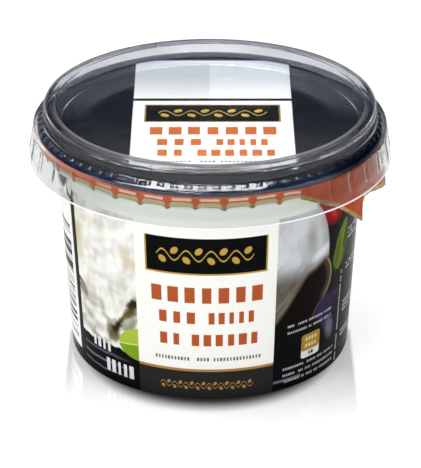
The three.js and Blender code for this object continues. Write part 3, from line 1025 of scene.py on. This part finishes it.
def floor_material():
    """Pale floor, polished enough in front of the tub to mirror its foot."""
    material, shader, place = new_material("pale floor")
    right, away, _ = shader.parts(place)
    aside = abs(right) / MM
    deep = away / MM
    near = deep.ramp(-56.0, -20.0, 0.0, 0.5, "LINEAR")
    gloss = near * aside.ramp(41.0, 39.8) * deep.ramp(4.0, 0.0)
    # A tight soft shadow where the tub touches the floor.
    contact = shader.length(aside, deep + 7.0).ramp(32.5, 41.8, 0.97, 0.0)
    mottle = shader.noise(place, 30.0, 2.0)
    colour = shader.mix(mottle, (0.33, 0.33, 0.33, 1), (0.35, 0.35, 0.35, 1))
    colour = shader.mix(gloss, colour, (0.9, 0.9, 0.9, 1))
    colour = shader.mix(contact, colour, (0, 0, 0, 1))
    glow = shader.mix(shader.math("MAXIMUM", gloss, contact), (1, 1, 1, 1), (0, 0, 0, 1))
    # The floor falls off into the dim room behind.
    glow = shader.mix(deep.ramp(240.0, 330.0, 0.0, 0.8), glow, (0, 0, 0, 1))
    surface = plastic(shader, colour, gloss.ramp(0.0, 0.02, 0.5, 0.05), specular=0.2)
    shader.feed(surface.inputs["Metallic"], gloss)
    shader.feed(surface.inputs["Emission Color"], glow)
    surface.inputs["Emission Strength"].default_value = FLOOR_GLOW
    return material


# ---- pieces


def wall_radius(height):
    return WALL_FOOT_RADIUS + WALL_DRAFT * height


def tub_body():
    """The filled tub: recessed base, tapered wall, and a flange with a turned-down lip."""
    lip_inner = FLANGE_RADIUS - LIP_THICKNESS
    mouth_top = FLANGE_TOP - FILM_SAG
    corners = [
        (0, BASE_RECESS_DEPTH, 0, 1),
        (BASE_RING_RADIUS, BASE_RECESS_DEPTH, 0, 3),
        (BASE_RING_RADIUS + BASE_RING_HEIGHT, BASE_RECESS_DEPTH - BASE_RING_HEIGHT, 0, 1),
        (BASE_RING_RADIUS + 4 * BASE_RING_HEIGHT, BASE_RECESS_DEPTH - BASE_RING_HEIGHT, 0, 1),
        (BASE_RING_RADIUS + 5 * BASE_RING_HEIGHT, BASE_RECESS_DEPTH, 0, 1),
        (BASE_RECESS_RADIUS - BASE_RECESS_DEPTH, BASE_RECESS_DEPTH, 0.3 * MM, 4),
        (BASE_RECESS_RADIUS, 0, 0.3 * MM, 1),
        (WALL_FOOT_RADIUS, 0, FOOT_CORNER, 2),
        (wall_radius(WALL_TOP), WALL_TOP, 1.0 * MM, 12),
        (lip_inner, WALL_TOP, 0.4 * MM, 1),
        (lip_inner, LIP_BOTTOM, 0.2 * MM, 1),
        (FLANGE_RADIUS, LIP_BOTTOM, 0.3 * MM, 1),
        (FLANGE_RADIUS, FLANGE_TOP, 0.7 * MM, 2),
        (MOUTH_RADIUS + FILM_SAG, FLANGE_TOP, 0.4 * MM, 1),
        (MOUTH_RADIUS, mouth_top, 0, 1),
        (0, mouth_top, 0, 6),
    ]
    shape = spun(rounded_line(corners), ROUND_STEPS)
    for face in shape.faces:
        middle = face.calc_center_median()
        across = azimuth_of(middle) * LABEL_RADIUS
        if middle.z < BASE_RECESS_DEPTH + 0.1 * MM and middle.xy.length < FOOT_RADIUS:
            face.material_index = 2
        elif not BACK_LEFT < across < BACK_RIGHT:
            face.material_index = 1
    piece = finished("tub_body", shape, label_material("printed label", label_print))
    piece.data.materials.append(label_material("printed label back", back_print))
    piece.data.materials.append(base_material())
    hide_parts("tub")
    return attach(piece, "root")


def peel_film():
    """The film: flat over the mouth with slight puckers, and folded down outside the flange."""
    corners = [
        (0, FILM_TOP - FILM_SAG, 0, 1),
        (FILM_FLAT_RADIUS, FILM_TOP - FILM_SAG, 0.5 * MM, 16),
        (FILM_RIM_RADIUS, FILM_TOP, 0.5 * MM, 1),
        (FILM_RADIUS, FILM_TOP, FILM_FOLD_FILLET, 2),
        (FILM_RADIUS, FOLD_EDGE, 0, 6),
    ]
    shape = spun(rounded_line(corners), FILM_STEPS)
    for vertex in shape.verts:
        azimuth = azimuth_of(vertex.co)
        low = smooth_step(vertex.co.z, FOLD_INK_BOTTOM, FOLD_EDGE)
        if low > 0:
            near = groove_distance(azimuth, FILM_RADIUS)
            drip = FOLD_DRIP * math.exp(-((near / FOLD_DRIP_WIDTH) ** 2))
            spot = (math.cos(azimuth) * 6, math.sin(azimuth) * 6, 0)
            wander = FOLD_WANDER * noise.noise(spot)
            rise = FOLD_RISE * smooth_step(-azimuth, 0.45, 0.85)
            vertex.co.z -= low * (drip + wander - rise)
    piece = finished("peel_film", shape, film_material())
    thicken(piece, FILM_SHEET)
    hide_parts("film_lid")
    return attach(piece, "root")


def tab_azimuth(share):
    return TAB_START + (TAB_END - TAB_START) * share


def tab_bottom(azimuth):
    """Height of the tab's lower edge at an azimuth in degrees: straight runs between corners."""
    for (start, low), (end, high) in zip(TAB_CORNERS, TAB_CORNERS[1:]):
        if azimuth <= end:
            return low + (high - low) * (azimuth - start) / (end - start)
    return TAB_CORNERS[-1][1]


def tab_stand_off(azimuth, height):
    """How far the tab stands off the fold: held in by the overcap, it springs out below it."""
    front = azimuth < TAB_NOTCH
    flare = TAB_FRONT_FLARE if front else TAB_BACK_FLARE
    tip = min(corner[1] for corner in TAB_CORNERS if (corner[0] < TAB_NOTCH) == front)
    below = min(max((CAP_BOTTOM - height) / (CAP_BOTTOM - tip), 0.0), 1.0)
    tucked = smooth_step(TAB_TOP - height, 0.0, TAB_TUCK_LENGTH) * TAB_TUCK
    return tucked + flare * below


def pull_tab():
    """The tab of the film: one sheet in two lobes that hangs out below the overcap."""
    shape = bmesh.new()
    bmesh.ops.create_grid(shape, x_segments=TAB_COLUMNS, y_segments=TAB_ROWS, size=0.5)
    sheet = shape.loops.layers.uv.new("sheet")
    for face in shape.faces:
        for corner in face.loops:
            share = corner.vert.co.x + 0.5
            rise = (TAB_TOP - tab_bottom(tab_azimuth(share))) * (corner.vert.co.y + 0.5)
            corner[sheet].uv = (share, rise / TAB_EDGE_SCALE)
    for vertex in shape.verts:
        azimuth = tab_azimuth(vertex.co.x + 0.5)
        bottom = tab_bottom(azimuth)
        height = bottom + (TAB_TOP - bottom) * (vertex.co.y + 0.5)
        radius = FILM_RADIUS + TAB_PROUD + tab_stand_off(azimuth, height)
        ripple = noise.noise((azimuth / 5.0, height / (6.0 * MM), 0))
        radius += TAB_RIPPLE * (ripple - 0.5) * smooth_step(TAB_TOP - height, 0.0, TAB_TUCK_LENGTH)
        turn = math.radians(azimuth)
        vertex.co = (radius * math.sin(turn), -radius * math.cos(turn), height)
    piece = finished("pull_tab", shape, tab_material())
    thicken(piece, TAB_SHEET)
    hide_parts("film_lid")
    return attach(piece, "root")


def crowded(azimuth):
    """An azimuth moved towards the nearest groove, to sharpen the edges of the pads."""
    pitch = 2 * math.pi / PAD_COUNT
    turn = azimuth / pitch - 0.5
    share = (turn - round(turn)) * 2
    nearer = share * (1 - PAD_CROWDING + PAD_CROWDING * abs(share))
    return azimuth + (nearer - share) / 2 * pitch


def overcap():
    """The clear overcap, with gripping pads on its wall and fine ridges on its shelf."""
    shape = spun(rounded_line(CAP_CORNERS), CAP_STEPS)
    for vertex in shape.verts:
        radius = math.hypot(vertex.co.x, vertex.co.y)
        azimuth = azimuth_of(vertex.co)
        if PAD_BOTTOM - PAD_EDGE < vertex.co.z < PAD_TOP and radius > PAD_REACH:
            azimuth = crowded(azimuth)
            near = groove_distance(azimuth, radius)
            inside = smooth_step(near, GROOVE_INNER, GROOVE_OUTER)
            below = min((PAD_TOP - vertex.co.z) / PAD_CHAMFER, 1.0)
            above = smooth_step(vertex.co.z, PAD_BOTTOM - PAD_EDGE, PAD_BOTTOM + PAD_EDGE)
            radius += PAD_RISE * inside * below * above
            vertex.co = (radius * math.sin(azimuth), -radius * math.cos(azimuth), vertex.co.z)
    for face in shape.faces:
        if face.calc_center_median().z < CAP_BOTTOM + EDGE_HEIGHT:
            face.material_index = 1
    piece = finished("clear_overcap", shape, clear_material())
    piece.data.materials.append(cut_edge_and_highlight_material())
    thicken(piece, CAP_SHEET)
    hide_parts("overcap")
    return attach(piece, "root")


# ---- stage

FLOOR_RADIUS = 1.2
FLOOR_GLOW = 0.83
BACK_GLOW = (0.42, 0.42, 0.42, 1)
FRONT_GLOW = (0.8, 0.8, 0.8, 1)
LOW_BAND = (2.75, 2.75, 2.75, 1)
HIGH_DIM = (0.03, 0.038, 0.055, 1)


def floor():
    shape = bmesh.new()
    bmesh.ops.create_circle(shape, cap_ends=True, segments=96, radius=FLOOR_RADIUS)
    piece = finished("pale_floor", shape, floor_material())
    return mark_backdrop(piece)


def aimed(thing, place, target):
    """Puts a lamp or a camera in the scene at a place, facing a target."""
    thing.location = place
    aim = Vector(target) - Vector(place)
    thing.rotation_euler = aim.to_track_quat("-Z", "Y").to_euler()
    bpy.context.scene.collection.objects.link(thing)


def lamp(name, place, target, size, radiance):
    """A soft box of a given brightness, aimed at a target."""
    light = bpy.data.lights.new(name, "AREA")
    light.shape = "RECTANGLE"
    light.size, light.size_y = size
    light.energy = radiance * math.pi * size[0] * size[1]
    aimed(bpy.data.objects.new(name, light), place, target)


def backdrop():
    """A world that is pale round the horizon, most in front, and dim and slightly blue above it."""
    world = bpy.data.worlds.new("studio")
    world.use_nodes = True
    world.node_tree.nodes.clear()
    shader = Shader(world.node_tree)
    toward = shader.node("ShaderNodeTexCoord").outputs["Generated"]
    _, away, up = shader.parts(toward)
    horizon = shader.mix(away.ramp(-0.1, -0.7), BACK_GLOW, FRONT_GLOW)
    colour = shader.mix(up.ramp(0.25, 0.42), horizon, HIGH_DIM)
    low = up.ramp(-0.04, 0.02) * up.ramp(0.2, 0.13)
    colour = shader.mix(low * away.ramp(-0.1, -0.5), colour, LOW_BAND)
    light = shader.node("ShaderNodeBackground", {"Color": colour, "Strength": 1.0})
    shader.node("ShaderNodeOutputWorld", {"Surface": light.outputs[0]})
    return world


def studio():
    lamp("left box", (-0.75, -0.25, 0.42), (0, 0, 0.04), (0.4, 0.5), 1.5)
    lamp("right box", (0.75, -0.25, 0.42), (0, 0, 0.04), (0.4, 0.5), 0.5)
    lamp("high box", (-0.12, -0.4, 0.85), (0, 0, 0.06), (0.2, 0.2), 22.0)
    lamp("top box", (-0.01, 0.12, 0.67), (-0.01, 0, 0.06), (0.36, 0.14), 18.0)
    lamp("left top box", (-0.25, 0.04, 0.67), (-0.25, 0, 0.06), (0.22, 0.12), 21.0)
    bpy.context.scene.world = backdrop()
    bpy.context.scene.view_settings.view_transform = "Standard"


def camera():
    lens = bpy.data.cameras.new("camera")
    lens.lens = CAMERA_LENS
    lens.sensor_fit = "VERTICAL"
    lens.sensor_height = SENSOR
    lens.clip_start = CAMERA_NEAR
    view = bpy.data.objects.new("camera", lens)
    aimed(view, CAMERA_PLACE, CAMERA_TARGET)
    bpy.context.scene.camera = view


tub_body()
peel_film()
pull_tab()
overcap()
floor()
studio()
camera()
